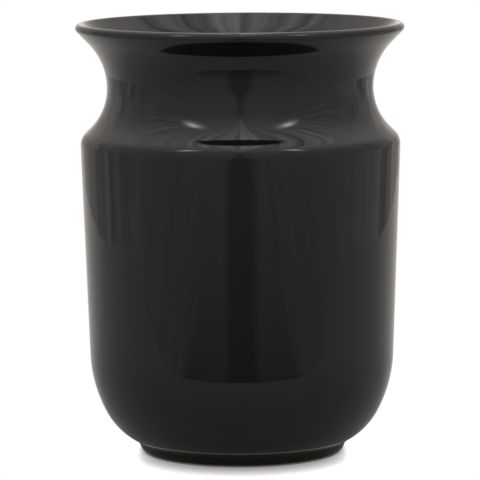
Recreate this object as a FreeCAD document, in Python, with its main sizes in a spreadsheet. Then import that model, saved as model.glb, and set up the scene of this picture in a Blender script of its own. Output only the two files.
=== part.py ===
# A wide-necked glazed vase, in the pieces that a potter throws, joins with slip and coats with glaze.
# It stands on its foot ring at z = 0 with its axis on Z. Lengths are millimetres and angles are degrees.
import FreeCAD, Part
import math
import os
import Sketcher

# Driving sizes. Heights and radii are those of the clay, and the glaze lies outside them.
SIZES = {
    # Heights, each one standing on the one before it
    "foot_height": 8.0,      # ground to the crease under the belly
    "belly_rise": 56.7,      # crease to the lower end of the straight wall
    "wall_rise": 136.9,      # from there to the widest place, at the shoulder
    "neck_rise": 36.6,       # widest place to the narrowest place of the neck
    "rim_rise": 41.3,        # narrowest place to the top of the lip
    # Widths
    "body_radius": 103.3,    # widest place of the body
    "neck_inset": 17.3,      # how far the neck is drawn in from there
    "rim_flare": 20.0,       # how far the mouth flares out again from the neck
    "foot_inset": 38.7,      # how far the foot ring is set in from there, at the ground
    "foot_flare": 3.6,       # how much wider the foot ring is at the crease
    # Curves
    "flare_length": 10.5,    # straight stretch under the lip
    "slope_length": 4.7,     # straight stretch above the shoulder
    "shoulder_round": 9.8,   # rounding of the shoulder
    "wall_taper": 2.0,       # angle of the wall from upright, narrower below
    "foot_slope": 25.2,      # angle of the belly from level where it meets the foot ring
    "floor_round": 50.0,     # rounding between wall and floor inside
    # Thicknesses
    "wall": 5.0,             # clay wall, with a fully rounded lip
    "base": 8.5,             # clay floor
    "recess_height": 6.0,    # hollow under the floor, inside the foot ring
    "ring_width": 8.0,       # foot ring across its standing face
    "foot_round": 0.8,       # rounding of the standing edges
    "slip": 0.5,             # fired slip in the joints
    "glaze": 0.5,            # glaze coat
    "pool_round": 1.5,       # rounding where glaze gathers in a corner
    "bare_edge": 1.0,        # unglazed band above the ground
    # Joints
    "lap_drop": 6.0,         # widest place down to the top of the shoulder lap
    "lap_step": 3.0,         # height of the step in the shoulder lap
    "seat_width": 3.0,       # step of the foot seat in from the bore of the ring
}

# Values worked out from the sizes, all on the clay's outer surface. Endings: _r and _z give a place, _round
# the radius of an arc, and _face the way the surface faces, in degrees above the level.
DERIVED = {
    # Heights and centres of the lip, neck and shoulder
    "wall_foot_z": "Sizes.foot_height + Sizes.belly_rise",
    "shoulder_z": "wall_foot_z + Sizes.wall_rise",
    "waist_z": "shoulder_z + Sizes.neck_rise",
    "waist_r": "Sizes.body_radius - Sizes.neck_inset",
    "foot_r": "Sizes.body_radius - Sizes.foot_inset",
    "waist_face": "0",
    "shoulder_r": "Sizes.body_radius - Sizes.shoulder_round",
    "lip_round": "Sizes.wall / 2",
    "lip_r": "waist_r + Sizes.rim_flare - lip_round",
    "lip_z": "waist_z + Sizes.rim_rise - lip_round",
    # The neck is two hollow arcs that meet upright at the waist. The upper one ends on the straight flare,
    # which touches the round of the lip, and the lower one on the slope, which touches the shoulder.
    "upper_neck_round": "((lip_r - waist_r)^2 + (lip_z - waist_z)^2 - lip_round^2 - Sizes.flare_length^2)"
                        " / (2 * Sizes.rim_flare)",
    "upper_neck_r": "waist_r + upper_neck_round",
    "upper_neck_z": "waist_z",
    "flare_face": "(atan2(Sizes.flare_length; upper_neck_round + lip_round)"
                  " - atan2(lip_z - waist_z; upper_neck_r - lip_r)) / 1 deg",
    "lower_neck_round": "((shoulder_r - waist_r)^2 + Sizes.neck_rise^2 - Sizes.shoulder_round^2"
                        " - Sizes.slope_length^2) / (2 * Sizes.neck_inset)",
    "lower_neck_r": "waist_r + lower_neck_round",
    "lower_neck_z": "waist_z",
    "slope_face": "(atan2(Sizes.neck_rise; lower_neck_r - shoulder_r)"
                  " - atan2(Sizes.slope_length; lower_neck_round + Sizes.shoulder_round)) / 1 deg",
    # Ends of the arcs and straight stretches
    "lip_end_face": "flare_face + 180",
    "lip_end_r": "lip_r + lip_round * cos(lip_end_face)",
    "lip_end_z": "lip_z + lip_round * sin(lip_end_face)",
    "lip_crest_face": "90",
    "lip_crest_r": "lip_r",
    "lip_crest_z": "lip_z + lip_round",
    "flare_top_face": "flare_face",
    "flare_top_r": "lip_r + lip_round * cos(flare_face)",
    "flare_top_z": "lip_z + lip_round * sin(flare_face)",
    "flare_foot_face": "flare_face",
    "flare_foot_r": "upper_neck_r - upper_neck_round * cos(flare_face)",
    "flare_foot_z": "upper_neck_z - upper_neck_round * sin(flare_face)",
    "slope_top_face": "slope_face",
    "slope_top_r": "lower_neck_r - lower_neck_round * cos(slope_face)",
    "slope_top_z": "lower_neck_z - lower_neck_round * sin(slope_face)",
    "slope_foot_face": "slope_face",
    "slope_foot_r": "shoulder_r + Sizes.shoulder_round * cos(slope_face)",
    "slope_foot_z": "shoulder_z + Sizes.shoulder_round * sin(slope_face)",
    "wall_top_face": "-Sizes.wall_taper",
    "wall_top_r": "shoulder_r + Sizes.shoulder_round * cos(wall_top_face)",
    "wall_top_z": "shoulder_z + Sizes.shoulder_round * sin(wall_top_face)",
    "wall_foot_face": "-Sizes.wall_taper",
    "wall_foot_r": "wall_top_r - (wall_top_z - wall_foot_z) * tan(Sizes.wall_taper)",
    "foot_top_face": "-atan2(Sizes.foot_flare; Sizes.foot_height) / 1 deg",
    "foot_top_r": "foot_r + Sizes.foot_flare",
    "foot_top_z": "Sizes.foot_height",
    # The belly is two full arcs, which meet where the belly runs parallel to its own chord. An arm is the
    # length from an arc's end to where the lines that touch its two ends cross.
    "belly_chord": "hypot(wall_foot_r - foot_top_r; wall_foot_z - foot_top_z)",
    "belly_joint_face": "-atan2(wall_foot_r - foot_top_r; wall_foot_z - foot_top_z) / 1 deg",
    "upper_turn": "-belly_joint_face - Sizes.wall_taper",
    "lower_turn": "90 - Sizes.foot_slope + belly_joint_face",
    "upper_arm": "belly_chord / (1 + cos(upper_turn) + sin(upper_turn) / tan(lower_turn / 2))",
    "lower_arm": "upper_arm * sin(upper_turn) / sin(lower_turn)",
    "upper_belly_round": "upper_arm / tan(upper_turn / 2)",
    "upper_belly_r": "wall_foot_r - upper_belly_round * cos(wall_foot_face)",
    "upper_belly_z": "wall_foot_z - upper_belly_round * sin(wall_foot_face)",
    "belly_joint_r": "upper_belly_r + upper_belly_round * cos(belly_joint_face)",
    "belly_joint_z": "upper_belly_z + upper_belly_round * sin(belly_joint_face)",
    "lower_belly_round": "lower_arm / tan(lower_turn / 2)",
    "lower_belly_r": "belly_joint_r - lower_belly_round * cos(belly_joint_face)",
    "lower_belly_z": "belly_joint_z - lower_belly_round * sin(belly_joint_face)",
    # The glaze gathers in the crease, in an arc that touches the belly's glaze and the foot's glaze
    "pool_out": "(foot_r - lower_belly_r) * cos(foot_top_face) - lower_belly_z * sin(foot_top_face)"
                " + Sizes.glaze + Sizes.pool_round",
    "pool_down": "sqrt((lower_belly_round + Sizes.glaze + Sizes.pool_round)^2 - pool_out^2)",
    "pool_r": "lower_belly_r + pool_out * cos(foot_top_face) + pool_down * sin(foot_top_face)",
    "pool_z": "lower_belly_z + pool_out * sin(foot_top_face) - pool_down * cos(foot_top_face)",
    "pool_top_face": "atan2(pool_z - lower_belly_z; pool_r - lower_belly_r) / 1 deg",
    "pool_top_r": "lower_belly_r + lower_belly_round * cos(pool_top_face)",
    "pool_top_z": "lower_belly_z + lower_belly_round * sin(pool_top_face)",
    # Inside, the straight wall runs into the floor in one arc that touches both
    "floor_z": "Sizes.recess_height + Sizes.base",
    "corner_z": "floor_z + Sizes.floor_round",
    "corner_r": "wall_foot_r + (corner_z - wall_foot_z) * tan(Sizes.wall_taper)"
                " - (Sizes.wall + Sizes.floor_round) / cos(Sizes.wall_taper)",
    "floor_bend_face": "wall_foot_face",
    "floor_bend_r": "corner_r + (Sizes.wall + Sizes.floor_round) * cos(floor_bend_face)",
    "floor_bend_z": "corner_z + (Sizes.wall + Sizes.floor_round) * sin(floor_bend_face)",
    # The shoulder lap: a tongue on the body inside a skirt on the collar, with slip between them
    "lap_top_z": "shoulder_z - Sizes.lap_drop",
    "lap_foot_z": "lap_top_z - Sizes.lap_step",
    "lap_r": "wall_foot_r + (lap_foot_z - wall_foot_z) * tan(Sizes.wall_taper) - Sizes.wall / 2",
    "tongue_r": "lap_r - Sizes.slip / 2",
    "skirt_r": "lap_r + Sizes.slip / 2",
    "collar_step_z": "lap_top_z + Sizes.slip",
    "collar_foot_z": "lap_foot_z + Sizes.slip",
    # The foot seat: a boss under the body inside a rebate in the ring, with slip between them
    "bore_r": "foot_r - Sizes.ring_width",
    "boss_r": "bore_r + Sizes.seat_width",
    "rebate_r": "boss_r + Sizes.slip",
    "ring_top_z": "Sizes.foot_height - Sizes.slip",
    "ring_step_z": "Sizes.recess_height - Sizes.slip",
    # Centres of the rounded standing edges, and of the glaze's corner in the hollow of the foot
    "outer_edge_z": "Sizes.foot_round",
    "outer_edge_r": "foot_r - Sizes.foot_round * (1 + sin(foot_top_face)) / cos(foot_top_face)",
    "inner_edge_z": "Sizes.foot_round",
    "inner_edge_r": "bore_r + Sizes.foot_round",
    "recess_corner_r": "bore_r - Sizes.glaze - Sizes.pool_round",
    "recess_corner_z": "Sizes.recess_height - Sizes.glaze - Sizes.pool_round",
}

# The outline's places from the lip down, each with the centre of the arc that follows it
PLACES = {
    "lip_end": "lip",
    "lip_crest": "lip",
    "flare_top": None,
    "flare_foot": "upper_neck",
    "waist": "lower_neck",
    "slope_top": None,
    "slope_foot": "shoulder",
    "wall_top": None,
    "wall_foot": "upper_belly",
    "belly_joint": "lower_belly",
    "foot_top": None,
}

# Depths below the clay's outer surface
GLAZE_SKIN = "(-Sizes.glaze)"
CLAY_LINING = "Sizes.wall"
GLAZE_LINING = "(Sizes.wall + Sizes.glaze)"

doc = FreeCAD.newDocument("Vase")


def make_sheet():
    """Writes the driving sizes into a spreadsheet, one alias to a row."""
    sheet = doc.addObject("Spreadsheet::Sheet", "Sizes")
    for row, (name, value) in enumerate(SIZES.items(), start=1):
        sheet.set(f"A{row}", name)
        sheet.set(f"B{row}", str(value))
        sheet.setAlias(f"B{row}", name)


def make_outline():
    """Holds the derived values, each bound to the sizes and to the values before it."""
    outline = doc.addObject("App::VarSet", "Outline")
    for name in DERIVED:
        outline.addProperty("App::PropertyFloat", name, "Outline")
    for name, expression in DERIVED.items():
        outline.setExpression(name, expression)


def spot(name, depth=None):
    """Radius and height of a named point on the clay's outside, moved in by a depth if one is given."""
    radius = f"Outline.{name}_r"
    height = f"Outline.{name}_z"
    if depth:
        facing = f"Outline.{name}_face"
        radius += f" - {depth} * cos({facing})"
        height += f" - {depth} * sin({facing})"
    return radius, height


def wall_at(height, depth=None):
    """Radius and height on the straight wall, moved in by a depth if one is given."""
    radius = f"Outline.wall_foot_r + ({height} - Outline.wall_foot_z) * tan(Sizes.wall_taper)"
    if depth:
        radius += f" - {depth} / cos(Sizes.wall_taper)"
    return radius, height


def foot_at(height, depth=None):
    """Radius and height on the outside of the foot ring, moved in by a depth if one is given."""
    radius = f"Outline.foot_r - {height} * tan(Outline.foot_top_face)"
    if depth:
        radius += f" - {depth} / cos(Outline.foot_top_face)"
    return radius, height


def surface(first, last, depth=None):
    """Corners along the outline from one named place up or down to just before another."""
    names = list(PLACES)
    start = names.index(first)
    end = names.index(last)
    step = 1 if start < end else -1
    path = []
    for index in range(start, end, step):
        middle = PLACES[names[min(index, index + step)]]
        path.append(spot(names[index], depth) + (spot(middle) if middle else ()))
    return path


def floor(depth):
    """Corners inside the pot, from the axis out over the floor and up to the straight wall."""
    level = f"Outline.floor_z - Sizes.wall + {depth}"
    return [
        ("0", level),
        ("Outline.corner_r", level, *spot("corner")),
        spot("floor_bend", depth),
    ]


def backward(path):
    """The corners of a path in the other order, with each arc's centre at the corner that it now leaves."""
    places = [item[:2] for item in reversed(path)]
    middles = [item[2:] for item in reversed(path[:-1])]
    return [place + middle for place, middle in zip(places, [*middles, ()])]


def arc_between(start, end, middle):
    """Arc of under a half circle between two points, and whether it runs anticlockwise."""
    spokes = [start - middle, end - middle]
    anticlockwise = spokes[0].cross(spokes[1]).z > 0
    angles = [math.atan2(spoke.y, spoke.x) for spoke in spokes]
    if not anticlockwise:
        angles.reverse()
    circle = Part.Circle(middle, FreeCAD.Vector(0, 0, 1), spokes[0].Length)
    return Part.ArcOfCircle(circle, *angles), anticlockwise


def pin(sketch, point, direction, expression):
    """Fixes one coordinate of a sketch's point by an expression."""
    if expression == "0":
        axis = -2 if direction == "DistanceX" else -1
        sketch.addConstraint(Sketcher.Constraint("PointOnObject", *point, axis))
        return
    value = sketch.evalExpression(expression)
    index = sketch.addConstraint(Sketcher.Constraint(direction, -1, 1, *point, value))
    sketch.setExpression(f"Constraints[{index}]", expression)


def draw(sketch, path):
    """Draws a closed path and pins it by its expressions.

    Each corner of the path is a radius and a height. Where an arc leaves it, the arc's centre follows.
    The centre lies square to the middle of the chord, so one coordinate pins it.
    """
    starts = []
    ends = []
    for index, item in enumerate(path):
        after = path[(index + 1) % len(path)]
        numbers = [sketch.evalExpression(text) for text in (*item, *after[:2])]
        start = FreeCAD.Vector(*numbers[:2])
        end = FreeCAD.Vector(*numbers[-2:])
        if item[2:]:
            shape, anticlockwise = arc_between(start, end, FreeCAD.Vector(*numbers[2:4]))
            edge = sketch.addGeometry(shape, False)
            starts.append((edge, 1 if anticlockwise else 2))
            ends.append((edge, 2 if anticlockwise else 1))
            if abs(end.y - start.y) > abs(end.x - start.x):
                pin(sketch, (edge, 3), "DistanceX", item[2])
            else:
                pin(sketch, (edge, 3), "DistanceY", item[3])
        else:
            edge = sketch.addGeometry(Part.LineSegment(start, end), False)
            starts.append((edge, 1))
            ends.append((edge, 2))
    for index, item in enumerate(path):
        sketch.addConstraint(Sketcher.Constraint("Coincident", *ends[index - 1], *starts[index]))
        pin(sketch, starts[index], "DistanceX", item[0])
        pin(sketch, starts[index], "DistanceY", item[1])


def turned(label, path):
    """A body turned about the Z axis from one closed section."""
    body = doc.addObject("PartDesign::Body", label)
    body.Label = label
    body.Placement = FreeCAD.Placement()
    sketch = body.newObject("Sketcher::SketchObject", f"{label}_section")
    plane = next(item for item in body.Origin.OriginFeatures if item.Role == "XZ_Plane")
    sketch.AttachmentSupport = [(plane, "")]
    sketch.MapMode = "FlatFace"
    draw(sketch, path)
    revolution = body.newObject("PartDesign::Revolution", f"{label}_turned")
    revolution.Profile = sketch
    revolution.ReferenceAxis = (sketch, ["V_Axis"])
    revolution.Angle = 360
    return body


def make_foot_ring():
    """Clay ring with rounded standing edges, and a rebate in its top that takes the body's boss."""
    return turned("foot_ring", [
        foot_at("Outline.ring_top_z"),
        (*foot_at("Sizes.foot_round * (1 + sin(Outline.foot_top_face))"), *spot("outer_edge")),
        ("Outline.outer_edge_r", "0"),
        ("Outline.inner_edge_r", "0", *spot("inner_edge")),
        ("Outline.bore_r", "Outline.inner_edge_z"),
        ("Outline.bore_r", "Outline.ring_step_z"),
        ("Outline.rebate_r", "Outline.ring_step_z"),
        ("Outline.rebate_r", "Outline.ring_top_z"),
    ])


def make_foot_slip_joint():
    """Fired slip between the foot ring and the body, following the rebate."""
    return turned("foot_slip_joint", [
        spot("foot_top"),
        foot_at("Outline.ring_top_z"),
        ("Outline.rebate_r", "Outline.ring_top_z"),
        ("Outline.rebate_r", "Outline.ring_step_z"),
        ("Outline.bore_r", "Outline.ring_step_z"),
        ("Outline.bore_r", "Sizes.recess_height"),
        ("Outline.boss_r", "Sizes.recess_height"),
        ("Outline.boss_r", "Outline.foot_top_z"),
    ])


def make_body_shell():
    """Clay bowl: wall, belly and floor, with a boss below that centres the foot ring."""
    return turned("body_shell", [
        wall_at("Outline.lap_foot_z"),
        *surface("wall_foot", "foot_top"),
        spot("foot_top"),
        ("Outline.boss_r", "Outline.foot_top_z"),
        ("Outline.boss_r", "Sizes.recess_height"),
        ("0", "Sizes.recess_height"),
        *floor(CLAY_LINING),
        wall_at("Outline.lap_top_z", CLAY_LINING),
        ("Outline.tongue_r", "Outline.lap_top_z"),
        ("Outline.tongue_r", "Outline.lap_foot_z"),
    ])


def make_shoulder_slip_joint():
    """Fired slip in the stepped lap between body and neck."""
    return turned("shoulder_slip_joint", [
        wall_at("Outline.collar_foot_z"),
        wall_at("Outline.lap_foot_z"),
        ("Outline.tongue_r", "Outline.lap_foot_z"),
        ("Outline.tongue_r", "Outline.lap_top_z"),
        wall_at("Outline.lap_top_z", CLAY_LINING),
        wall_at("Outline.collar_step_z", CLAY_LINING),
        ("Outline.skirt_r", "Outline.collar_step_z"),
        ("Outline.skirt_r", "Outline.collar_foot_z"),
    ])


def make_neck_collar():
    """Clay shoulder, neck and flared mouth, with a fully rounded lip."""
    return turned("neck_collar", [
        *surface("lip_end", "wall_top"),
        spot("wall_top"),
        wall_at("Outline.collar_foot_z"),
        ("Outline.skirt_r", "Outline.collar_foot_z"),
        ("Outline.skirt_r", "Outline.collar_step_z"),
        wall_at("Outline.collar_step_z", CLAY_LINING),
        *surface("wall_top", "flare_top", CLAY_LINING),
    ])


def make_outer_glaze():
    """Glaze over the lip and down the outside to the bare edge of the foot, gathered in the crease."""
    pool_foot_r = "Outline.pool_r - Sizes.pool_round * cos(Outline.foot_top_face)"
    pool_foot_z = "Outline.pool_z - Sizes.pool_round * sin(Outline.foot_top_face)"
    return turned("outer_glaze", [
        *surface("lip_end", "belly_joint", GLAZE_SKIN),
        (*spot("belly_joint", GLAZE_SKIN), *spot("lower_belly")),
        (*spot("pool_top", GLAZE_SKIN), *spot("pool")),
        (pool_foot_r, pool_foot_z),
        foot_at("Sizes.bare_edge", GLAZE_SKIN),
        foot_at("Sizes.bare_edge"),
        *surface("foot_top", "lip_end"),
        spot("lip_end"),
    ])


def make_liner_glaze():
    """Glaze poured inside, from the lip down over the floor."""
    return turned("liner_glaze", [
        *surface("flare_top", "wall_foot", CLAY_LINING),
        *backward(floor(CLAY_LINING)),
        *floor(GLAZE_LINING),
        *surface("wall_top", "flare_top", GLAZE_LINING),
        spot("flare_top", GLAZE_LINING),
    ])


def make_base_glaze():
    """Glaze in the hollow under the floor, gathered in its corner."""
    return turned("base_glaze", [
        ("0", "Sizes.recess_height"),
        ("Outline.bore_r", "Sizes.recess_height"),
        ("Outline.bore_r", "Sizes.bare_edge"),
        ("Outline.bore_r - Sizes.glaze", "Sizes.bare_edge"),
        ("Outline.bore_r - Sizes.glaze", "Outline.recess_corner_z", *spot("recess_corner")),
        ("Outline.recess_corner_r", "Sizes.recess_height - Sizes.glaze"),
        ("0", "Sizes.recess_height - Sizes.glaze"),
    ])


def check(bodies):
    """Stops if anything in the document failed, or a piece isn't one valid solid."""
    for item in doc.Objects:
        if "Invalid" in item.State or "Error" in item.State:
            raise RuntimeError(f"{item.Name} failed: {item.State}")
    for body in bodies:
        shape = body.Shape
        if shape.isNull() or not shape.isValid() or len(shape.Solids) != 1:
            raise RuntimeError(f"{body.Label} isn't one valid solid")
        print(f"{body.Label}: {shape.Volume:.0f} cubic mm")


make_sheet()
make_outline()
doc.recompute()
pieces = [
    make_foot_ring(),
    make_foot_slip_joint(),
    make_body_shell(),
    make_shoulder_slip_joint(),
    make_neck_collar(),
    make_outer_glaze(),
    make_liner_glaze(),
    make_base_glaze(),
]
doc.recompute()
check(pieces)
os.makedirs("parts", exist_ok=True)
for piece in pieces:
    piece.Shape.exportStep(f"parts/{piece.Label}.step")
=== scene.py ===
import math
from collections import namedtuple

import bmesh
import bpy
from bpy.props import FloatProperty, FloatVectorProperty, PointerProperty
from mathutils import Matrix, Vector, noise


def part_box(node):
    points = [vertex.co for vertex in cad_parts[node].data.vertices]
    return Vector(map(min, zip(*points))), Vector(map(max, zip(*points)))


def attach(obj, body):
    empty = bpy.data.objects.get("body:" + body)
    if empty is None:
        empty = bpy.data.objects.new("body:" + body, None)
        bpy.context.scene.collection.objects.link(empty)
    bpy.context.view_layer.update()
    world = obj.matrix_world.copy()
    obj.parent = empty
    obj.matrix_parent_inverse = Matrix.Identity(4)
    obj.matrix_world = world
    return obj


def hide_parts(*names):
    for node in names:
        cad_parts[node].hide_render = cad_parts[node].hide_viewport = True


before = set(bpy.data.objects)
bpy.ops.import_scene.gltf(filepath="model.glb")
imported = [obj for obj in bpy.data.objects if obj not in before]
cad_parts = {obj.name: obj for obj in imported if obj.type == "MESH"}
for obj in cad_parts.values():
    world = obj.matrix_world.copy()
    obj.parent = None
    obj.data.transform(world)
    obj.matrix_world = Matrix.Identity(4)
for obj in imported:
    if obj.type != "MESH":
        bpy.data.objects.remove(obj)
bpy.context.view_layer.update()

bl_info = {
    "name": "Wide-necked glazed vase",
    "version": (1, 0, 0),
    "blender": (4, 5, 0),
    "location": "View3D > Sidebar > Vase",
    "description": "Turns a black glazed vase and pitches the light tent that it is photographed in",
    "category": "Add Mesh",
}

MM = 0.001
SEGMENTS = 320                       # facets round the axis
SKIN_SPACING = 1.5 * MM              # between stations on a surface that shows
HIDDEN_SPACING = 8 * MM              # between stations on a surface that doesn't
MOST_TURN = math.radians(3)          # of a surface, from one station to the next
SHARP_ANGLE = math.radians(35)       # edges that turn by more than this are left sharp
AXIS_RADIUS = 0.0001 * MM            # anything nearer the axis than this is on it
WEAR_DEPTH = 0.06 * MM               # of the bare clay, where it is rubbed back most
WEAR_SPACING = 5 * MM                # from one such place to the next
OUTWARD = 0.0                        # ways that a surface can face
UPWARD = math.pi / 2
DOWNWARD = -math.pi / 2
INWARD = math.pi

# A place on a section: its radius, its height, the way its surface faces above the level, and its share of
# the unevenness
Station = namedtuple("Station", "r z face swell")


def linear(hex_colour):
    """The linear colour of an sRGB hex value."""
    shares = [int(hex_colour[start:start + 2], 16) / 255 for start in (1, 3, 5)]
    return (*(v / 12.92 if v <= 0.04045 else ((v + 0.055) / 1.055) ** 2.4 for v in shares), 1.0)


def length(title, about, default):
    """A size, shown in the scene's units."""
    return FloatProperty(name=title, description=about, default=default, min=0.0, precision=5, unit="LENGTH")


def angle(title, about, degrees):
    """An angle, given in degrees."""
    return FloatProperty(name=title, description=about, default=math.radians(degrees), unit="ROTATION")


def number(title, about, default):
    """A plain number from nought upward."""
    return FloatProperty(name=title, description=about, default=default, min=0.0, precision=3)


def colour(title, about, hex_colour):
    """A colour, given as an sRGB hex value."""
    return FloatVectorProperty(name=title, description=about, default=linear(hex_colour), size=4, min=0.0,
                               max=1.0, subtype="COLOR")


def lowest(node):
    """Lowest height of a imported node."""
    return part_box(node)[0].z


def highest(node):
    """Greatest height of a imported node."""
    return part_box(node)[1].z


def widest(node):
    """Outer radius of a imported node."""
    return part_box(node)[1].x


class VaseSizes(bpy.types.PropertyGroup):
    """Sizes of the clay, with the glaze outside them. Each rise stands on the one before it."""
    foot_height: length("Foot height", "Ground to the crease under the belly", highest("foot_slip_joint"))
    belly_rise: length("Belly rise", "Crease to the lower end of the straight wall", 56.7 * MM)
    wall_rise: length("Wall rise", "Straight wall, up to the widest place", 136.9 * MM)
    neck_rise: length("Neck rise", "Widest place to the waist of the neck", 36.6 * MM)
    rim_height: length("Rim height", "Ground to the top of the lip", highest("neck_collar"))
    body_radius: length("Body radius", "At the shoulder, the widest place of the body", 103.3 * MM)
    waist_radius: length("Waist radius", "At the narrowest place of the neck", 86.0 * MM)
    rim_radius: length("Rim radius", "Outside of the lip", widest("neck_collar"))
    crease_radius: length("Crease radius", "Foot ring at the crease", widest("foot_slip_joint"))
    foot_radius: length("Foot radius", "Foot ring at the ground", 64.6 * MM)
    bore_radius: length("Bore radius", "Inside of the foot ring", widest("base_glaze"))
    flare_length: length("Flare", "Straight stretch under the lip", 10.5 * MM)
    slope_length: length("Slope", "Straight stretch above the shoulder", 4.7 * MM)
    shoulder_round: length("Shoulder rounding", "Radius of the shoulder's edge", 9.8 * MM)
    floor_round: length("Floor rounding", "Radius between wall and floor inside", 50.0 * MM)
    foot_round: length("Foot rounding", "Radius of the standing edges", 0.8 * MM)
    wall_taper: angle("Wall taper", "Lean of the wall, narrower below", 2.0)
    foot_slope: angle("Foot slope", "Angle of the belly from level at the crease", 25.2)
    wall: length("Wall", "Thickness of the clay", 5.0 * MM)
    floor_height: length("Floor height", "Ground to the clay floor inside", lowest("liner_glaze"))
    recess_height: length("Recess", "Hollow of the clay under the floor", highest("base_glaze"))
    ring_top: length("Ring top", "Ground to the top of the foot ring", highest("foot_ring"))
    ring_step: length("Ring step", "Ground to the step inside the foot ring", lowest("foot_slip_joint"))
    ring_step_width: length("Ring step width", "Step of the foot ring out from its bore", 3.5 * MM)


class GlazeSizes(bpy.types.PropertyGroup):
    """Sizes of the glaze coat and of its unevenness."""
    thickness: length("Glaze", "Thickness of the coat", 0.5 * MM)
    pool_round: length("Pool", "Radius of the glaze gathered in a corner", 1.5 * MM)
    bare_edge: length("Bare edge", "Ground to the lower edge of the glaze", lowest("outer_glaze"))
    edge_wave: length("Edge wave", "Most that the lower edge rises above that", 0.3 * MM)
    wave_spacing: length("Wave spacing", "From one rise of the lower edge to the next", 9 * MM)
    run_spacing: length("Run spacing", "From one thick place of the coat to the next", 42 * MM)
    run_depth: length("Run depth", "Loss of thickness between the thick places", 0.04 * MM)
    dimple_spacing: length("Dimple spacing", "From one shallow dimple to the next", 12 * MM)
    dimple_depth: length("Dimple depth", "Depth of the dimples", 0.04 * MM)
    ridge_pitch: length("Ridge pitch", "Path of the thrower's spiral in one turn", 11 * MM)
    ridge_depth: length("Ridge depth", "Depth of the thrower's spiral", 0.010 * MM)
    lip_calm: length("Calm lip", "Distance below the rim over which the unevenness fades in", 16 * MM)


class Finishes(bpy.types.PropertyGroup):
    """Colours of the fired clay and glaze."""
    black: colour("Glaze", "Thick gloss glaze", "#0A090A")
    thin_black: colour("Thin glaze", "Where the glaze drew thin in the fire", "#120E0B")
    speck: colour("Speck", "Dust fired into the glaze", "#6A645C")
    clay: colour("Clay", "Bare fired clay", "#B8A081")
    grog: colour("Grog", "Dark grains in the clay", "#5E4933")
    slip: colour("Slip", "Fired joining slip", "#A38A6C")


class StageSizes(bpy.types.PropertyGroup):
    """The camera, the light tent and the lamps."""
    camera_distance: length("Camera distance", "Camera to the vase's axis, along the ground", 2266.1 * MM)
    camera_height: length("Camera height", "Camera above the ground", 426.0 * MM)
    camera_aside: length("Camera aside", "Camera to the left of the axis", 0.74 * MM)
    camera_pitch: angle("Camera pitch", "Tilt of the camera below the level", 7.239)
    camera_roll: angle("Camera roll", "Lean of the camera to the right", 0.37)
    focal_length: number("Focal length", "In millimetres, on a sensor 36 mm wide", 263.0)
    floor_width: length("Floor", "Side of the square floor", 12.0)
    tent_radius: length("Tent", "Radius of the light tent", 0.9)
    front_distance: length("Front wall", "Axis to the middle of the tent's front wall", 0.272)
    front_wrap: number("Front wrap", "How far the front wall comes round for its distance aside", 0.1)
    back_stretch: number("Back stretch", "How much longer the tent is behind the vase, for its length", 1.47)
    neck_radius: length("Neck radius", "Of the vase's neck, for the tent's brightness", 0.090)
    neck_height: length("Neck height", "Of the vase's neck, for the tent's brightness", 0.24)
    fold_spacing: length("Folds", "Between the upright folds of the tent", 160 * MM)
    fold_length: length("Fold length", "Height over which a fold changes", 0.9)
    gather_spacing: angle("Gathers", "Between the rays that the front wall is gathered in", 6.0)
    gap_height: length("Gap height", "Ground to the top of the gap in the front wall", 250 * MM)
    gap_half_width: length("Gap", "Half of the gap's width at the ground", 235 * MM)
    strip_half_width: length("Strip", "Half of the strip's width above the gap", 36 * MM)
    slit_half_width: length("Slit width", "Half of the slit's width above the strip", 2 * MM)
    slit_height: length("Slit", "Ground to the top of the slit in the front wall", 0.36)
    lamp_patch: FloatVectorProperty(name="Lamp patch", description="Where the right lamp shines on the tent",
                                    default=(0.215, -0.250, 0.476), subtype="TRANSLATION")
    patch_radius: length("Patch radius", "Of the light that a lamp throws on the tent", 106 * MM)
    patch_core: length("Patch core", "Radius of the patch's even middle", 11 * MM)
    lamp_bearing: angle("Lamp bearing", "Of each lamp, aside from the camera", 47.0)
    lamp_elevation: angle("Lamp elevation", "Of each lamp, above the level", 44.0)
    lamp_distance: length("Lamp distance", "From the axis", 1.6)
    lamp_width: length("Lamp width", "Of each soft lamp", 0.7)
    lamp_power: number("Lamp power", "In watts", 6.0)
    fill: number("Fill", "Strength of the light from all round", 0.55)
    cloth: colour("Cloth", "Cloth of the tent, on the camera's side", "#FCF7FF")
    far_cloth: colour("Far cloth", "Cloth of the tent behind the vase, and under it", "#FFF9F4")


# Arithmetic of the outline

def touching_hollow(across, along, bulge_round, straight):
    """A hollow arc that starts upright and runs over a straight stretch on to a bulge.

    The bulge's centre lies across and along from the arc's start. The arc's radius and its turn come back.
    """
    hollow = (across ** 2 + along ** 2 - bulge_round ** 2 - straight ** 2) / (2 * (across + bulge_round))
    turned = math.atan2(along, hollow - across) - math.atan2(straight, hollow + bulge_round)
    return hollow, turned


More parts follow.
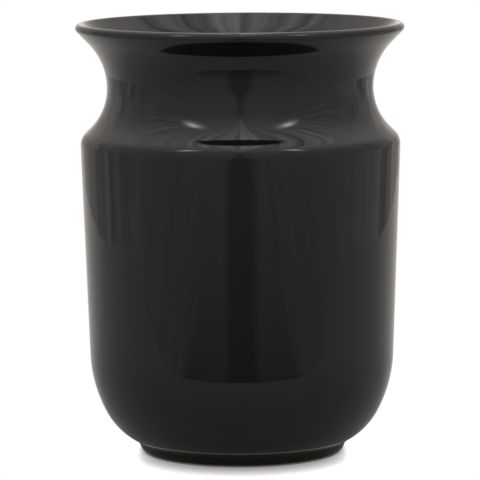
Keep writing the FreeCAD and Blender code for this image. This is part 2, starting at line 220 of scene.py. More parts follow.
def clay_arcs(sizes):
    """Arcs down the clay's outside, each with its centre, its radius and the ways that its two ends face.

    A hollow arc has a negative radius. Straight stretches lie between the arcs.
    """
    taper = -sizes.wall_taper
    wall_foot_z = sizes.foot_height + sizes.belly_rise
    shoulder_z = wall_foot_z + sizes.wall_rise
    waist_z = shoulder_z + sizes.neck_rise
    lip_round = sizes.wall / 2
    lip_r = sizes.rim_radius - lip_round
    lip_z = sizes.rim_height - lip_round
    upper, flare = touching_hollow(lip_r - sizes.waist_radius, lip_z - waist_z, lip_round, sizes.flare_length)
    shoulder_r = sizes.body_radius - sizes.shoulder_round
    lower, slope = touching_hollow(shoulder_r - sizes.waist_radius, sizes.neck_rise, sizes.shoulder_round,
                                   sizes.slope_length)
    wall_top_r = shoulder_r + sizes.shoulder_round * math.cos(taper)
    wall_top_z = shoulder_z + sizes.shoulder_round * math.sin(taper)
    wall_foot_r = wall_top_r + (wall_top_z - wall_foot_z) * math.tan(taper)
    # The belly's two arcs meet where it runs parallel to its chord. An arm is the length from an arc's end
    # to where the lines that touch its two ends cross.
    across = wall_foot_r - sizes.crease_radius
    joint = -math.atan2(across, sizes.belly_rise)
    belly_end = DOWNWARD + sizes.foot_slope
    upper_turn = taper - joint
    lower_turn = joint - belly_end
    upper_arm = math.hypot(across, sizes.belly_rise) / (
        1 + math.cos(upper_turn) + math.sin(upper_turn) / math.tan(lower_turn / 2))
    lower_arm = upper_arm * math.sin(upper_turn) / math.sin(lower_turn)
    upper_belly = upper_arm / math.tan(upper_turn / 2)
    upper_belly_r = wall_foot_r - upper_belly * math.cos(taper)
    upper_belly_z = wall_foot_z - upper_belly * math.sin(taper)
    lower_belly = lower_arm / math.tan(lower_turn / 2)
    lower_belly_r = upper_belly_r + (upper_belly - lower_belly) * math.cos(joint)
    lower_belly_z = upper_belly_z + (upper_belly - lower_belly) * math.sin(joint)
    # Inside, the straight wall runs into the floor in one arc
    corner_z = sizes.floor_height + sizes.floor_round
    corner_r = (wall_foot_r - (corner_z - wall_foot_z) * math.tan(taper)
                - (sizes.wall + sizes.floor_round) / math.cos(taper))
    return {
        "lip": (lip_r, lip_z, lip_round, INWARD - flare, -flare),
        "upper_neck": (sizes.waist_radius + upper, waist_z, -upper, -flare, OUTWARD),
        "lower_neck": (sizes.waist_radius + lower, waist_z, -lower, OUTWARD, slope),
        "shoulder": (shoulder_r, shoulder_z, sizes.shoulder_round, slope, taper),
        "upper_belly": (upper_belly_r, upper_belly_z, upper_belly, taper, joint),
        "lower_belly": (lower_belly_r, lower_belly_z, lower_belly, joint, belly_end),
        "floor": (corner_r, corner_z, sizes.floor_round + sizes.wall, taper, DOWNWARD),
    }


def place_on(arc, face, depth=0.0):
    """The station on an arc where its surface faces one way, moved in by a depth."""
    middle_r, middle_z, radius = arc[:3]
    reach = radius - depth
    return Station(middle_r + reach * math.cos(face), middle_z + reach * math.sin(face), face, 1.0)


def bend(arc, depth=0.0, spacing=SKIN_SPACING):
    """Stations along an arc, moved in by a depth."""
    start, end = arc[3:]
    reach = abs((arc[2] - depth) * (end - start))
    count = max(math.ceil(reach / spacing), math.ceil(abs(end - start) / MOST_TURN))
    return [place_on(arc, start + (end - start) * step / count, depth) for step in range(count + 1)]


def run(arcs, names, depth, spacing=SKIN_SPACING):
    """Stations along several arcs, moved in by a depth."""
    return [place for name in names for place in bend(arcs[name], depth, spacing)]


def filled(section):
    """A section with stations put in along its straight stretches, so that they can be uneven too."""
    found = section[:1]
    for before, after in zip(section, section[1:]):
        count = math.ceil(math.hypot(after.r - before.r, after.z - before.z) / (2 * SKIN_SPACING))
        for step in range(1, count):
            part = step / count
            found.append(Station(*(a + (b - a) * part for a, b in zip(before, after))))
        found.append(after)
    return found


def turned_over(section):
    """A section whose surface faces the other way, as a lining's does."""
    return [place._replace(face=place.face + math.pi) for place in section]


def hidden(section):
    """A section in the other order and without unevenness, for the side of a coat that lies on the clay."""
    return [place._replace(swell=0.0) for place in reversed(section)]


def foot_lean(sizes):
    """Lean of the foot ring's outside from upright."""
    return math.atan2(sizes.crease_radius - sizes.foot_radius, sizes.foot_height)


def foot_wall(sizes, height, out=0.0):
    """Station on the foot ring's outside at a height, moved out square to it."""
    lean = foot_lean(sizes)
    return Station(sizes.foot_radius + height * math.tan(lean) + out / math.cos(lean), height, -lean, 1.0)


def outer_glaze_section(sizes, glaze):
    """Section of the glaze from the lip down the outside to the bare edge, gathered in the crease."""
    arcs = clay_arcs(sizes)
    lean = foot_lean(sizes)
    belly_r, belly_z, belly_round, joint, _ = arcs["lower_belly"]
    reach = glaze.thickness + glaze.pool_round
    pool_out = (sizes.foot_radius - belly_r) * math.cos(lean) + belly_z * math.sin(lean) + reach
    pool_down = math.sqrt((belly_round + reach) ** 2 - pool_out ** 2)
    pool_r = belly_r + pool_out * math.cos(lean) - pool_down * math.sin(lean)
    pool_z = belly_z - pool_out * math.sin(lean) - pool_down * math.cos(lean)
    pool_face = math.atan2(pool_z - belly_z, pool_r - belly_r)
    bead_round = glaze.thickness / 2
    bead = foot_wall(sizes, glaze.bare_edge + bead_round, bead_round)
    skin = filled([
        *run(arcs, ("lip", "upper_neck", "lower_neck", "shoulder", "upper_belly"), -glaze.thickness),
        *bend((belly_r, belly_z, belly_round, joint, pool_face), -glaze.thickness),
        *bend((pool_r, pool_z, -glaze.pool_round, pool_face, -lean)),
        *bend((bead.r, bead.z, bead_round, -lean, -lean - math.pi)),
    ])
    names = ("lip", "upper_neck", "lower_neck", "shoulder", "upper_belly", "lower_belly")
    return skin + hidden(run(arcs, names, 0.0, HIDDEN_SPACING))


def liner_glaze_section(sizes, glaze):
    """Section of the glaze inside, from the lip down over the floor."""
    arcs = clay_arcs(sizes)
    names = ("upper_neck", "lower_neck", "shoulder", "floor")
    sides = []
    for depth, spacing in ((sizes.wall + glaze.thickness, SKIN_SPACING), (sizes.wall, HIDDEN_SPACING)):
        sides.append([
            place_on(arcs["lip"], arcs["lip"][-1], depth),
            *run(arcs, names, depth, spacing),
            Station(0.0, sizes.floor_height - sizes.wall + depth, DOWNWARD, 1.0),
        ])
    skin, back = sides
    return turned_over(filled(skin)) + hidden(back)


def base_glaze_section(sizes, glaze):
    """Section of the glaze in the hollow under the floor, gathered in its corner."""
    ceiling = sizes.recess_height - glaze.thickness
    corner_r = sizes.bore_radius - glaze.thickness - glaze.pool_round
    corner_z = ceiling - glaze.pool_round
    bead_round = glaze.thickness / 2
    bead_r = sizes.bore_radius - bead_round
    bead_z = glaze.bare_edge + bead_round
    skin = filled([
        Station(0.0, ceiling, DOWNWARD, 1.0),
        *bend((corner_r, corner_z, -glaze.pool_round, DOWNWARD, -INWARD)),
        *bend((bead_r, bead_z, bead_round, -INWARD, OUTWARD)),
    ])
    corner = Station(sizes.bore_radius, sizes.recess_height, OUTWARD, 0.0)
    return [*skin, corner, corner._replace(r=0.0)]


def foot_ring_section(sizes):
    """Section of the clay ring, with rounded standing edges and a step that takes the body's boss."""
    edge = sizes.foot_round
    lean = foot_lean(sizes)
    outer_r = sizes.foot_radius - edge * (1 - math.sin(lean)) / math.cos(lean)
    step = Station(sizes.bore_radius, sizes.ring_step, UPWARD, 0.0)
    ledge = step._replace(r=sizes.bore_radius + sizes.ring_step_width)
    bare = filled([
        foot_wall(sizes, sizes.ring_top),
        *bend((outer_r, edge, edge, -lean, DOWNWARD)),
        *bend((sizes.bore_radius + edge, edge, edge, DOWNWARD, -INWARD)),
    ])
    return [*bare, step, ledge, ledge._replace(z=sizes.ring_top)]


# Meshes

def glaze_unevenness(sizes, glaze):
    """How far the glaze stands back at a place: thin runs, dimples and the thrower's spiral."""
    def depth(place):
        radius = math.hypot(place.x, place.y)
        around = math.atan2(place.y, place.x) + 2 * math.pi * (place.z + radius) / glaze.ridge_pitch
        off_axis = min(1.0, radius / (2 * glaze.ridge_pitch))
        spiral = glaze.ridge_depth * (0.5 - 0.5 * math.cos(around)) * off_axis
        thin = glaze.run_depth * (0.5 - 0.5 * noise.noise(place / glaze.run_spacing))
        dimple = glaze.dimple_depth * (0.5 - 0.5 * noise.noise(place / glaze.dimple_spacing))
        calm = min(1.0, max(0.0, (sizes.rim_height - place.z) / glaze.lip_calm))
        return (spiral + thin + dimple) * calm * calm * (3 - 2 * calm)
    return depth


def clay_wear(place):
    """How far the bare clay is sponged and rubbed back at a place."""
    return WEAR_DEPTH * (0.5 - 0.5 * noise.noise(place / WEAR_SPACING))


def turn(name, section, depth=None, closed=True):
    """A mesh object turned about the Z axis from a section, with its surface set back by a depth."""
    points = []
    rings = []
    for place in section:
        count = SEGMENTS if place.r > AXIS_RADIUS else 1
        start = len(points)
        rings.append([start + step % count for step in range(SEGMENTS + 1)])
        for step in range(count):
            turned = 2 * math.pi * step / SEGMENTS
            out = Vector((math.cos(turned), math.sin(turned), 0.0))
            up = Vector((0.0, 0.0, 1.0))
            point = out * place.r + up * place.z
            if depth and place.swell:
                point -= (out * math.cos(place.face) + up * math.sin(place.face)) * depth(point) * place.swell
            points.append(point)
    faces = []
    for ring, after in zip(rings, rings[1:] + rings[:1] if closed else rings[1:]):
        for step in range(SEGMENTS):
            corners = dict.fromkeys((ring[step], ring[step + 1], after[step + 1], after[step]))
            if len(corners) > 2:
                faces.append(list(corners))
    mesh = bpy.data.meshes.new(name)
    mesh.from_pydata(points, [], faces)
    shell = bmesh.new()
    shell.from_mesh(mesh)
    if shell.calc_volume(signed=True) < 0:
        bmesh.ops.reverse_faces(shell, faces=shell.faces[:])
    shell.to_mesh(mesh)
    shell.free()
    mesh.shade_smooth()
    mesh.set_sharp_from_angle(angle=SHARP_ANGLE)
    return shown(name, mesh)


def shown(name, data):
    """A new object in the scene."""
    thing = bpy.data.objects.new(name, data)
    bpy.context.scene.collection.objects.link(thing)
    return thing


def stand_in(piece, node, material):
    """Gives a turned piece its finish, and puts it in its node's place."""
    piece.data.materials.append(material)
    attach(piece, "root")
    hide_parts(node)


# Materials

def put(tree, kind, sockets=None, stops=(), **settings):
    """Adds a node with its settings.

    A socket takes a value, or a link from a socket or from a node's first output. The stops of a colour ramp
    are places from 0 to 1, each with a grey level.
    """
    node = tree.nodes.new(kind)
    for name, value in settings.items():
        setattr(node, name, value)
    for name, value in (sockets or {}).items():
        if isinstance(value, bpy.types.Node):
            value = next(output for output in value.outputs if output.enabled)
        if isinstance(value, bpy.types.NodeSocket):
            tree.links.new(value, node.inputs[name])
        else:
            node.inputs[name].default_value = value
    for index, (place, level) in enumerate(stops):
        elements = node.color_ramp.elements
        stop = elements[index] if index < 2 else elements.new(place)
        stop.position = place
        stop.color = (level, level, level, 1.0)
    return node


def math_node(tree, operation, *values):
    """Adds a node that works out a number."""
    return put(tree, "ShaderNodeMath", dict(enumerate(values)), operation=operation)


def vector_node(tree, operation, *values):
    """Adds a node that works out a vector, or a vector's length."""
    return put(tree, "ShaderNodeVectorMath", dict(enumerate(values)), operation=operation)


def range_node(tree, value, start, end, first=0.0, last=1.0, **settings):
    """Adds a node that goes from first to last while the value goes from start to end."""
    return put(tree, "ShaderNodeMapRange", {"Value": value, "From Min": start, "From Max": end,
                                            "To Min": first, "To Max": last}, **settings)


def finished(name, tree_filler, values):
    """The material of a name, made on its first use."""
    material = bpy.data.materials.get(name)
    if material is None:
        material = bpy.data.materials.new(name)
        material.use_nodes = True
        material.node_tree.nodes.clear()
        tree = material.node_tree
        put(tree, "ShaderNodeOutputMaterial", {"Surface": tree_filler(tree, values)})
    return material


def black_gloss_glaze(tree, finishes):
    """Gloss glaze blackened with iron and manganese, dipped and fired on stoneware.

    It is a smooth glass over a nearly black ground, so the eye sees little but its mirror image of the room,
    faint at the front and strong towards the edges. Orange peel and the odd speck of dust break the image up.
    """
    place = put(tree, "ShaderNodeTexCoord").outputs["Object"]
    # The tone drifts between thick and thin glaze over 60 mm
    drift = put(tree, "ShaderNodeTexNoise", {"Vector": place, "Scale": 1 / (60 * MM), "Detail": 3.0})
    tone = put(tree, "ShaderNodeMix", {"Factor": drift, "A": finishes.black, "B": finishes.thin_black},
               data_type="RGBA")
    # Specks 0.6 mm across in cells of 17 mm, few of which lie in the surface. Finer dust wouldn't show.
    cell = 17 * MM
    cells = put(tree, "ShaderNodeTexVoronoi", {"Vector": place, "Scale": 1 / cell, "Randomness": 1.0})
    speck = range_node(tree, cells, 0.3 * MM / cell, 0.15 * MM / cell, 0.0, 0.6)
    tinted = put(tree, "ShaderNodeMix", {"Factor": speck, "A": tone, "B": finishes.speck}, data_type="RGBA")
    # Orange peel, in dimples 4 mm across and 0.002 mm deep
    peel = put(tree, "ShaderNodeTexNoise", {"Vector": place, "Scale": 1 / (4 * MM), "Detail": 1.0})
    bumped = put(tree, "ShaderNodeBump", {"Height": peel, "Strength": 1.0, "Distance": 0.002 * MM})
    return put(tree, "ShaderNodeBsdfPrincipled", {"Base Color": tinted, "Normal": bumped, "Metallic": 0.0,
                                                  "Roughness": 0.04, "IOR": 1.5})


def bare_stoneware(tree, finishes):
    """Buff stoneware, turned on the wheel, sponged and fired bare: dry, with grains, grit and fine rings."""
    place = put(tree, "ShaderNodeTexCoord").outputs["Object"]
    # Patches toasted by the fire, over 18 mm
    toast = put(tree, "ShaderNodeTexNoise", {"Vector": place, "Scale": 1 / (18 * MM), "Detail": 4.0})
    ground = put(tree, "ShaderNodeMix", {"Factor": toast, "A": finishes.clay, "B": finishes.slip},
                 data_type="RGBA")
    # Dark grains 0.4 mm across and 1.4 mm apart
    cell = 1.4 * MM
    grains = put(tree, "ShaderNodeTexVoronoi", {"Vector": place, "Scale": 1 / cell, "Randomness": 1.0})
    dark = range_node(tree, grains, 0.2 * MM / cell, 0.1 * MM / cell, 0.0, 0.7)
    tinted = put(tree, "ShaderNodeMix", {"Factor": dark, "A": ground, "B": finishes.grog}, data_type="RGBA")
    # Rings of the turning tool 0.7 mm apart. The texture runs through 20 radians for each unit of its scale.
    rings = put(tree, "ShaderNodeTexWave", {"Vector": place, "Scale": 2 * math.pi / (20 * 0.7 * MM),
                                            "Distortion": 1.5, "Detail": 2.0},
                wave_type="RINGS", rings_direction="Z")
    ringed = put(tree, "ShaderNodeBump", {"Height": rings, "Strength": 0.6, "Distance": 0.04 * MM})
    # Grit 0.5 mm across
    grit = put(tree, "ShaderNodeTexNoise", {"Vector": place, "Scale": 1 / (0.5 * MM), "Detail": 4.0})
    rough = put(tree, "ShaderNodeBump", {"Height": grit, "Strength": 0.8, "Distance": 0.06 * MM,
                                         "Normal": ringed})
    return put(tree, "ShaderNodeBsdfPrincipled", {"Base Color": tinted, "Normal": rough, "Metallic": 0.0,
                                                  "Roughness": 0.85, "IOR": 1.5})


def fired_slip(tree, finishes):
    """Slip scored in between two clay pieces and fired: finer than the clay and a little darker."""
    place = put(tree, "ShaderNodeTexCoord").outputs["Object"]
    # Smears of a finger, 3 mm across
    smear = put(tree, "ShaderNodeTexNoise", {"Vector": place, "Scale": 1 / (3 * MM), "Detail": 3.0})
    tinted = put(tree, "ShaderNodeMix", {"Factor": smear, "A": finishes.slip, "B": finishes.clay},
                 data_type="RGBA")
    bumped = put(tree, "ShaderNodeBump", {"Height": smear, "Strength": 0.5, "Distance": 0.05 * MM})
    return put(tree, "ShaderNodeBsdfPrincipled", {"Base Color": tinted, "Normal": bumped, "Metallic": 0.0,
                                                  "Roughness": 0.7, "IOR": 1.5})


def seen_rays(tree):
    """One for a ray that shows, mirrors or refracts the stage, and nought for one that lights it."""
    path = put(tree, "ShaderNodeLightPath").outputs
    shown_or_mirrored = math_node(tree, "MAXIMUM", path["Is Camera Ray"], path["Is Glossy Ray"])
    return math_node(tree, "MAXIMUM", shown_or_mirrored, path["Is Transmission Ray"])


def white_paper(tree, stage):
    """Matt white paper under plain light. Seen, it glows pure white, but for a painted shade where the vase
    meets it, drawn from ambient occlusion.
    """
    place = put(tree, "ShaderNodeTexCoord").outputs["Object"]
    way = vector_node(tree, "NORMALIZE", place)
    behind = put(tree, "ShaderNodeSeparateXYZ", {"Vector": way}).outputs["Y"]
    # The painted shade goes down to 0.13 of the white. It reaches 22 mm on the camera's side and 3 mm on the
    # others.
    reach = range_node(tree, behind, -1.0, -0.15, 22 * MM, 3 * MM)
    near = put(tree, "ShaderNodeAmbientOcclusion", {"Distance": reach}, samples=16).outputs["AO"]
    shade = range_node(tree, near, 0.0, 1.0, 0.13, 1.0)
    glow = put(tree, "ShaderNodeEmission", {"Color": shade, "Strength": 1.0})
    paper = put(tree, "ShaderNodeBsdfDiffuse", {"Color": linear("#D8D6D2")})
    return put(tree, "ShaderNodeMixShader", {"Fac": seen_rays(tree), 1: paper, 2: glow})


# Brightness of the tent's cloth, where 1 is white, by its elevation in degrees as seen from the vase's neck
CLOTH_LEVELS = ((-90, 0.6), (-50, 0.65), (-20, 0.95), (25, 1.3), (55, 2.2), (90, 2.85))
CLOTH_PEAK = 3.0                     # brightness that the colour ramp's white stands for
# Share of that which the walls have low down, by their bearing in degrees aside from the camera
WALL_SHARES = ((0, 0.48), (90, 0.51), (138, 0.43), (155, 0.56), (170, 1.0))
HIGH_SHARE = 0.47                    # share that every side has high up
# Brightness of the ground sheet, by its distance from the axis in metres
SHEET_LEVELS = ((0.07, 0.13), (0.10, 0.29), (0.20, 0.38), (0.45, 0.46), (0.9, 0.50))
BACK_GAIN = 1.5                      # of the ground sheet straight behind the vase
BACK_SHARES = (0.4, 1.0)             # of a way's length that points back, where that gain starts and is full
HIGH_FROM = (-5, 30)                 # elevation in degrees, from low down to high up
FOLDS_BESIDE = (70, 100)             # bearing in degrees, where the folds start and are full
FOLDS_UP_TO = (65, 45)               # elevation in degrees, where the folds end and are full
FOLD_DEPTHS = (1.7, 0.25)            # of the brightness over the upright folds, low down and high up
GATHER_REACH = (-50 * MM, 450 * MM)  # height over the slit's top, where the gathers are shallow and deep
GATHER_DEPTHS = (0.35, 2.6)          # of the brightness over the gathers, there
FAN_GAIN = 1.35                      # of the single cloth straight over the slit
FAN_EDGE = (9, 14)                   # degrees aside from upright, where that gain starts to fade and ends
ROOM_LEVELS = (0.18, 0.44)           # brightness of the room behind the gap, at the ground and higher up
ROOM_RISE = 140 * MM                 # height of the brighter of the two
GAP_CURVE = 1.5                      # power that draws the gap's sides in
GAP_EDGE = (-18 * MM, 4 * MM)        # height over the gap's top, where it starts to fade and ends
STRIP_END = (-220 * MM, -110 * MM)   # height over the slit's top, where the strip narrows to the slit
SLIT_EDGE = (-6 * MM, 18 * MM)       # distance outside the slit, where it starts to fade and ends
SLIT_FADE = 30 * MM                  # height over which the slit's top fades
SLIT_SHARE = 0.54                    # share of the brightness that the slit has
PATCH_PEAK = 7.0                     # brightness that a lamp adds in the middle of its patch
PATCH_CURVE = 3.0                    # power that draws the patch's light to its middle
FAR_FROM = (-0.1, 0.5)               # metres behind the axis, where the far cloth starts and is full


def neck_elevation(tree, stage, place, height):
    """Elevation of a place on the tent as seen from the vase's neck."""
    level_part = vector_node(tree, "MULTIPLY", place, (1, 1, 0))
    from_axis = vector_node(tree, "LENGTH", level_part)
    from_neck = math_node(tree, "SUBTRACT", from_axis, stage.neck_radius)
    above_neck = math_node(tree, "SUBTRACT", height, stage.neck_height)
    return math_node(tree, "ARCTAN2", above_neck, from_neck)


def even_cloth(tree, rise, turned_aside, high):
    """Share of its peak brightness that the cloth has without its folds.

    Low down, the back wall is about twice as bright as the rest.
    """
    rise_share = math_node(tree, "MULTIPLY_ADD", rise, 1 / math.pi, 0.5)
    level = put(tree, "ShaderNodeValToRGB", {"Fac": rise_share},
                [((degrees + 90) / 180, level / CLOTH_PEAK) for degrees, level in CLOTH_LEVELS])
    aside_share = math_node(tree, "DIVIDE", turned_aside, math.pi)
    wall_share = put(tree, "ShaderNodeValToRGB", {"Fac": aside_share},
                     [(degrees / 180, share) for degrees, share in WALL_SHARES])
    share = put(tree, "ShaderNodeMix", {"Factor": high, "A": wall_share, "B": HIGH_SHARE})
    return math_node(tree, "MULTIPLY", level, share)


def upright_folds(tree, stage, place, high):
    """Change of brightness over the wide folds of the side walls and the back."""
    along = 1 / stage.fold_spacing
    folds_place = vector_node(tree, "MULTIPLY", place, (along, along, 1 / stage.fold_length))
    folds = put(tree, "ShaderNodeTexNoise", {"Vector": folds_place, "Scale": 1.0, "Detail": 1.0})
    depth = range_node(tree, high, 0.0, 1.0, *FOLD_DEPTHS)
    return math_node(tree, "MULTIPLY", math_node(tree, "SUBTRACT", folds, 0.5), depth)


def gathers(tree, stage, ray, above_slit):
    """Change of brightness over the gathers, which run in rays from the slit's top and deepen with height."""
    count = math_node(tree, "DIVIDE", ray, stage.gather_spacing)
    rays = put(tree, "ShaderNodeTexNoise", {"W": count, "Scale": 1.0, "Detail": 2.0}, noise_dimensions="1D")
    depth = range_node(tree, above_slit, *GATHER_REACH, *GATHER_DEPTHS)
    return math_node(tree, "MULTIPLY", math_node(tree, "SUBTRACT", rays, 0.5), depth)


def parted_front(tree, stage, parts, aside, above_slit, brightness):
    """Brightness of the cloth with its front wall parted for the camera.

    The dim room shows through a gap that is wide at the ground, and a strip above it narrows to a slit.
    """
    in_front = math_node(tree, "LESS_THAN", parts["Y"], 0.0)
    inward_share = range_node(tree, aside, 0.0, stage.gap_half_width, 1.0, 0.0)
    drawn_in = math_node(tree, "POWER", inward_share, GAP_CURVE)
    gap_top = math_node(tree, "MULTIPLY", drawn_in, stage.gap_height)
    over_top = math_node(tree, "SUBTRACT", parts["Z"], gap_top)
    gap = range_node(tree, over_top, *GAP_EDGE, 1.0, 0.0)
    front_gap = math_node(tree, "MULTIPLY", gap, in_front)
    room = range_node(tree, parts["Z"], 0.0, ROOM_RISE, *ROOM_LEVELS)
    parted = put(tree, "ShaderNodeMix", {"Factor": front_gap, "A": brightness, "B": room})
    slit_half = range_node(tree, above_slit, *STRIP_END, stage.strip_half_width, stage.slit_half_width,
                           interpolation_type="SMOOTHSTEP")
    beside_slit = math_node(tree, "SUBTRACT", aside, slit_half)
    slit_share = range_node(tree, beside_slit, *SLIT_EDGE, 1.0, 0.0)
    slit_top = range_node(tree, above_slit, -SLIT_FADE, 0.0, 1.0, 0.0)
    slit = math_node(tree, "MULTIPLY", slit_share, slit_top)
    front_slit = math_node(tree, "MULTIPLY", slit, in_front)
    dimming = range_node(tree, front_slit, 0.0, 1.0, 1.0, SLIT_SHARE)
    return math_node(tree, "MULTIPLY", parted, dimming)


def lamp_patches(tree, stage, parts, aside):
    """Brightness that the two lamps add to the cloth, in round patches that are brightest in their middle."""
    one_side = put(tree, "ShaderNodeCombineXYZ", {"X": aside, "Y": parts["Y"], "Z": parts["Z"]})
    off_lamp = vector_node(tree, "DISTANCE", one_side, stage.lamp_patch)
    share = range_node(tree, off_lamp, stage.patch_radius, stage.patch_core)
    glow = math_node(tree, "POWER", share, PATCH_CURVE)
    return math_node(tree, "MULTIPLY", glow, PATCH_PEAK)


def tent_cloth(tree, stage):
    """White cotton lit from outside: dim near the ground, brightest overhead and before the two lamps."""
    place = put(tree, "ShaderNodeTexCoord").outputs["Object"]
    parts = put(tree, "ShaderNodeSeparateXYZ", {"Vector": place}).outputs
    aside = math_node(tree, "ABSOLUTE", parts["X"])
    toward = math_node(tree, "MULTIPLY", parts["Y"], -1.0)
    bearing = math_node(tree, "ARCTAN2", parts["X"], toward)
    turned_aside = math_node(tree, "ABSOLUTE", bearing)
    rise = neck_elevation(tree, stage, place, parts["Z"])
    high = range_node(tree, rise, *map(math.radians, HIGH_FROM))
    even = even_cloth(tree, rise, turned_aside, high)
    # The folds hang at the sides and behind, up to the ceiling. The gathers take the front and the ceiling.
    above_slit = math_node(tree, "SUBTRACT", parts["Z"], stage.slit_height)
    ray = math_node(tree, "ARCTAN2", parts["X"], above_slit)
    beside = range_node(tree, turned_aside, *map(math.radians, FOLDS_BESIDE))
    low = range_node(tree, rise, *map(math.radians, FOLDS_UP_TO))
    low_beside = math_node(tree, "MULTIPLY", beside, low)
    gather_change = gathers(tree, stage, ray, above_slit)
    fold_change = upright_folds(tree, stage, place, high)
    form_change = put(tree, "ShaderNodeMix", {"Factor": low_beside, "A": gather_change, "B": fold_change})
    # Straight over the slit a fan of single cloth lets more light in
    ray_aside = math_node(tree, "ABSOLUTE", ray)
    fan = range_node(tree, ray_aside, *map(math.radians, FAN_EDGE), FAN_GAIN, 1.0)
    form_gain = math_node(tree, "ADD", form_change, fan)
    formed = math_node(tree, "MULTIPLY", even, form_gain)
    whole = math_node(tree, "MULTIPLY", formed, CLOTH_PEAK)
    parted = parted_front(tree, stage, parts, aside, above_slit, whole)
    strength = math_node(tree, "ADD", parted, lamp_patches(tree, stage, parts, aside))
    # Behind the vase the cloth looks warmer
    far = range_node(tree, parts["Y"], *FAR_FROM)
    tint = put(tree, "ShaderNodeMix", {"Factor": far, "A": stage.cloth, "B": stage.far_cloth},
               data_type="RGBA")
    return put(tree, "ShaderNodeEmission", {"Color": tint, "Strength": strength})


def ground_cloth(tree, stage):
    """The tent's white ground sheet, shaded towards the vase and brighter towards the back wall."""
    place = put(tree, "ShaderNodeTexCoord").outputs["Object"]
    distance = vector_node(tree, "LENGTH", place)
    distance_share = math_node(tree, "DIVIDE", distance, stage.tent_radius)
    level = put(tree, "ShaderNodeValToRGB", {"Fac": distance_share},
                [(radius / stage.tent_radius, level) for radius, level in SHEET_LEVELS])
    way = vector_node(tree, "NORMALIZE", place)
    behind = put(tree, "ShaderNodeSeparateXYZ", {"Vector": way}).outputs["Y"]
    back_gain = range_node(tree, behind, *BACK_SHARES, 1.0, BACK_GAIN)
    strength = math_node(tree, "MULTIPLY", level, back_gain)
    return put(tree, "ShaderNodeEmission", {"Color": stage.far_cloth, "Strength": strength})


# The stage

def bearing_way(bearing, elevation):
    """Direction from the vase, by the bearing aside from the camera's side and the elevation."""
    level = math.cos(elevation)
    return Vector((level * math.sin(bearing), -level * math.cos(bearing), math.sin(elevation)))


def only_mirrored(thing):
    """Lets mirror images show a stage piece that neither the camera nor the light sees."""
    thing.visible_camera = False
    thing.visible_diffuse = False
    thing.visible_transmission = False
    thing.visible_shadow = False


def lay_floor(stage):
    """White paper under the vase."""
    half = stage.floor_width / 2
    mesh = bpy.data.meshes.new("Floor")
    mesh.from_pydata([(-half, -half, 0), (half, -half, 0), (half, half, 0), (-half, half, 0)], [],
                     [(0, 1, 2, 3)])
    mesh.materials.append(finished("Matt white paper", white_paper, stage))
    shown("Floor", mesh)


def pitch_tent(stage, sizes):
    """The tent's dome and its ground sheet, which the glaze mirrors.

    Both are drawn out behind the vase, and cut off before it by a front wall with two flat halves.
    """
    dome = turn("Tent_dome", bend((0.0, 0.0, stage.tent_radius, UPWARD, OUTWARD), 0.0, stage.tent_radius),
                closed=False)
    dome.data.materials.append(finished("Lit tent cloth", tent_cloth, stage))
    # The sheet starts 2 mm outside the foot and lies 0.2 mm over the floor
    sheet_edge = Station(sizes.foot_radius + 2 * MM, 0.2 * MM, UPWARD, 0.0)
    sheet = turn("Tent_ground_sheet", [sheet_edge, sheet_edge._replace(r=stage.tent_radius)], closed=False)
    sheet.data.materials.append(finished("Tent ground cloth", ground_cloth, stage))
    for cloth in (dome, sheet):
        for vertex in cloth.data.vertices:
            vertex.co.y += stage.back_stretch * max(0.0, vertex.co.y - sizes.body_radius)
            front_wall = -stage.front_distance + stage.front_wrap * abs(vertex.co.x)
            vertex.co.y = max(vertex.co.y, front_wall)
        only_mirrored(cloth)


def light(stage):
    """Two soft lamps, and a world that shows white and fills in the shade."""
    for side, name in ((-1, "Left_lamp"), (1, "Right_lamp")):
        data = bpy.data.lights.new(name, "AREA")
        data.energy = stage.lamp_power
        data.size = stage.lamp_width
        lamp = shown(name, data)
        way = bearing_way(side * stage.lamp_bearing, stage.lamp_elevation)
        lamp.location = way * stage.lamp_distance
        lamp.rotation_euler = way.to_track_quat("Z", "Y").to_euler()
        lamp.visible_glossy = False
    world = bpy.data.worlds.new("Studio")
    bpy.context.scene.world = world
    world.use_nodes = True
    tree = world.node_tree
    tree.nodes.clear()
    strength = range_node(tree, seen_rays(tree), 0.0, 1.0, stage.fill, 1.0)
    glow = put(tree, "ShaderNodeBackground", {"Color": linear("#FFFFFF"), "Strength": strength})
    put(tree, "ShaderNodeOutputWorld", {"Surface": glow})


def set_camera(stage):
    """The photograph's camera."""
    data = bpy.data.cameras.new("Camera")
    data.sensor_width = 36.0
    data.lens = stage.focal_length
    camera = shown("Camera", data)
    stand = Vector((-stage.camera_aside, -stage.camera_distance, stage.camera_height))
    tilt = Matrix.Rotation(math.pi / 2 - stage.camera_pitch, 4, "X")
    roll = Matrix.Rotation(-stage.camera_roll, 4, "Z")
    camera.matrix_world = Matrix.Translation(stand) @ tilt @ roll
    bpy.context.scene.camera = camera
    bpy.context.scene.view_settings.view_transform = "Standard"


# Operators

class VASE_OT_foot_ring(bpy.types.Operator):
    """Turn the foot ring of bare clay"""
    bl_idname = "vase.foot_ring"
    bl_label = "Foot ring"

    def execute(self, context):
        piece = turn("Foot_ring", foot_ring_section(context.scene.vase_sizes), clay_wear)
        stand_in(piece, "foot_ring",
                 finished("Bare fired stoneware", bare_stoneware, context.scene.vase_finishes))
        return {"FINISHED"}


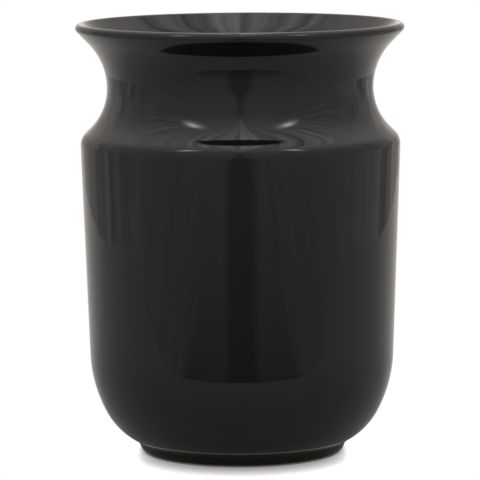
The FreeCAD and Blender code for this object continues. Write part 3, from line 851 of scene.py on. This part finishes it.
class VASE_OT_clay(bpy.types.Operator):
    """Give the thrown clay and the slip in its joints their fired finish"""
    bl_idname = "vase.clay"
    bl_label = "Clay and slip"

    def execute(self, context):
        finishes = context.scene.vase_finishes
        clay = finished("Bare fired stoneware", bare_stoneware, finishes)
        slip = finished("Fired joining slip", fired_slip, finishes)
        for node, material in (("body_shell", clay), ("neck_collar", clay), ("foot_slip_joint", slip),
                               ("shoulder_slip_joint", slip)):
            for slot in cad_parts[node].material_slots:
                slot.material = material
        return {"FINISHED"}


class VASE_OT_outer_glaze(bpy.types.Operator):
    """Turn the glaze over the lip and down the outside"""
    bl_idname = "vase.outer_glaze"
    bl_label = "Outer glaze"

    def execute(self, context):
        sizes = context.scene.vase_sizes
        glaze = context.scene.vase_glaze
        piece = turn("Outer_glaze", outer_glaze_section(sizes, glaze), glaze_unevenness(sizes, glaze))
        self.wave_edge(piece.data, sizes, glaze)
        stand_in(piece, "outer_glaze",
                 finished("Black gloss glaze on stoneware", black_gloss_glaze, context.scene.vase_finishes))
        return {"FINISHED"}

    def wave_edge(self, mesh, sizes, glaze):
        """Lifts the lower edge unevenly along the foot, where the glaze was wiped back."""
        # The lift dies out over six times the most of it, so that the glaze isn't squeezed
        fade_height = 6 * glaze.edge_wave
        for vertex in mesh.vertices:
            share_left = 1 - (vertex.co.z - glaze.bare_edge) / fade_height
            if share_left > 0:
                around = Vector((vertex.co.x, vertex.co.y, 0.0)) / glaze.wave_spacing
                lift = glaze.edge_wave * (0.5 + 0.5 * noise.noise(around)) * share_left
                radius = math.hypot(vertex.co.x, vertex.co.y)
                widening = (radius + lift * math.tan(foot_lean(sizes))) / radius
                vertex.co = (vertex.co.x * widening, vertex.co.y * widening, vertex.co.z + lift)


class VASE_OT_liner_glaze(bpy.types.Operator):
    """Turn the glaze inside, from the lip down over the floor"""
    bl_idname = "vase.liner_glaze"
    bl_label = "Liner glaze"

    def execute(self, context):
        sizes = context.scene.vase_sizes
        glaze = context.scene.vase_glaze
        piece = turn("Liner_glaze", liner_glaze_section(sizes, glaze), glaze_unevenness(sizes, glaze))
        stand_in(piece, "liner_glaze",
                 finished("Black gloss glaze on stoneware", black_gloss_glaze, context.scene.vase_finishes))
        return {"FINISHED"}


class VASE_OT_base_glaze(bpy.types.Operator):
    """Turn the glaze in the hollow of the foot"""
    bl_idname = "vase.base_glaze"
    bl_label = "Base glaze"

    def execute(self, context):
        sizes = context.scene.vase_sizes
        glaze = context.scene.vase_glaze
        piece = turn("Base_glaze", base_glaze_section(sizes, glaze), glaze_unevenness(sizes, glaze))
        stand_in(piece, "base_glaze",
                 finished("Black gloss glaze on stoneware", black_gloss_glaze, context.scene.vase_finishes))
        return {"FINISHED"}


class VASE_OT_stage(bpy.types.Operator):
    """Lay the floor, pitch the light tent, and set the lamps and the camera"""
    bl_idname = "vase.stage"
    bl_label = "Stage"

    def execute(self, context):
        stage = context.scene.vase_stage
        lay_floor(stage)
        pitch_tent(stage, context.scene.vase_sizes)
        light(stage)
        set_camera(stage)
        return {"FINISHED"}


STEPS = (VASE_OT_foot_ring, VASE_OT_clay, VASE_OT_outer_glaze, VASE_OT_liner_glaze, VASE_OT_base_glaze,
         VASE_OT_stage)
GROUPS = {"vase_sizes": VaseSizes, "vase_glaze": GlazeSizes, "vase_finishes": Finishes,
          "vase_stage": StageSizes}


class VASE_PT_panel(bpy.types.Panel):
    """Sizes, colours and steps of the vase"""
    bl_idname = "VASE_PT_panel"
    bl_label = "Glazed vase"
    bl_space_type = "VIEW_3D"
    bl_region_type = "UI"
    bl_category = "Vase"

    def draw(self, context):
        for step in STEPS:
            self.layout.operator(step.bl_idname)
        for name, group in GROUPS.items():
            column = self.layout.box().column()
            for value in group.__annotations__:
                column.prop(getattr(context.scene, name), value)


def register():
    """Registers the sizes, the steps and the panel."""
    for kind in (*GROUPS.values(), *STEPS, VASE_PT_panel):
        bpy.utils.register_class(kind)
    for name, group in GROUPS.items():
        setattr(bpy.types.Scene, name, PointerProperty(type=group))


def unregister():
    """Takes all of that out again."""
    for name in GROUPS:
        delattr(bpy.types.Scene, name)
    for kind in reversed((*GROUPS.values(), *STEPS, VASE_PT_panel)):
        bpy.utils.unregister_class(kind)


def main():
    """Makes the vase and its stage."""
    register()
    bpy.ops.vase.foot_ring()
    bpy.ops.vase.clay()
    bpy.ops.vase.outer_glaze()
    bpy.ops.vase.liner_glaze()
    bpy.ops.vase.base_glaze()
    bpy.ops.vase.stage()


if __name__ == "__main__":
    main()
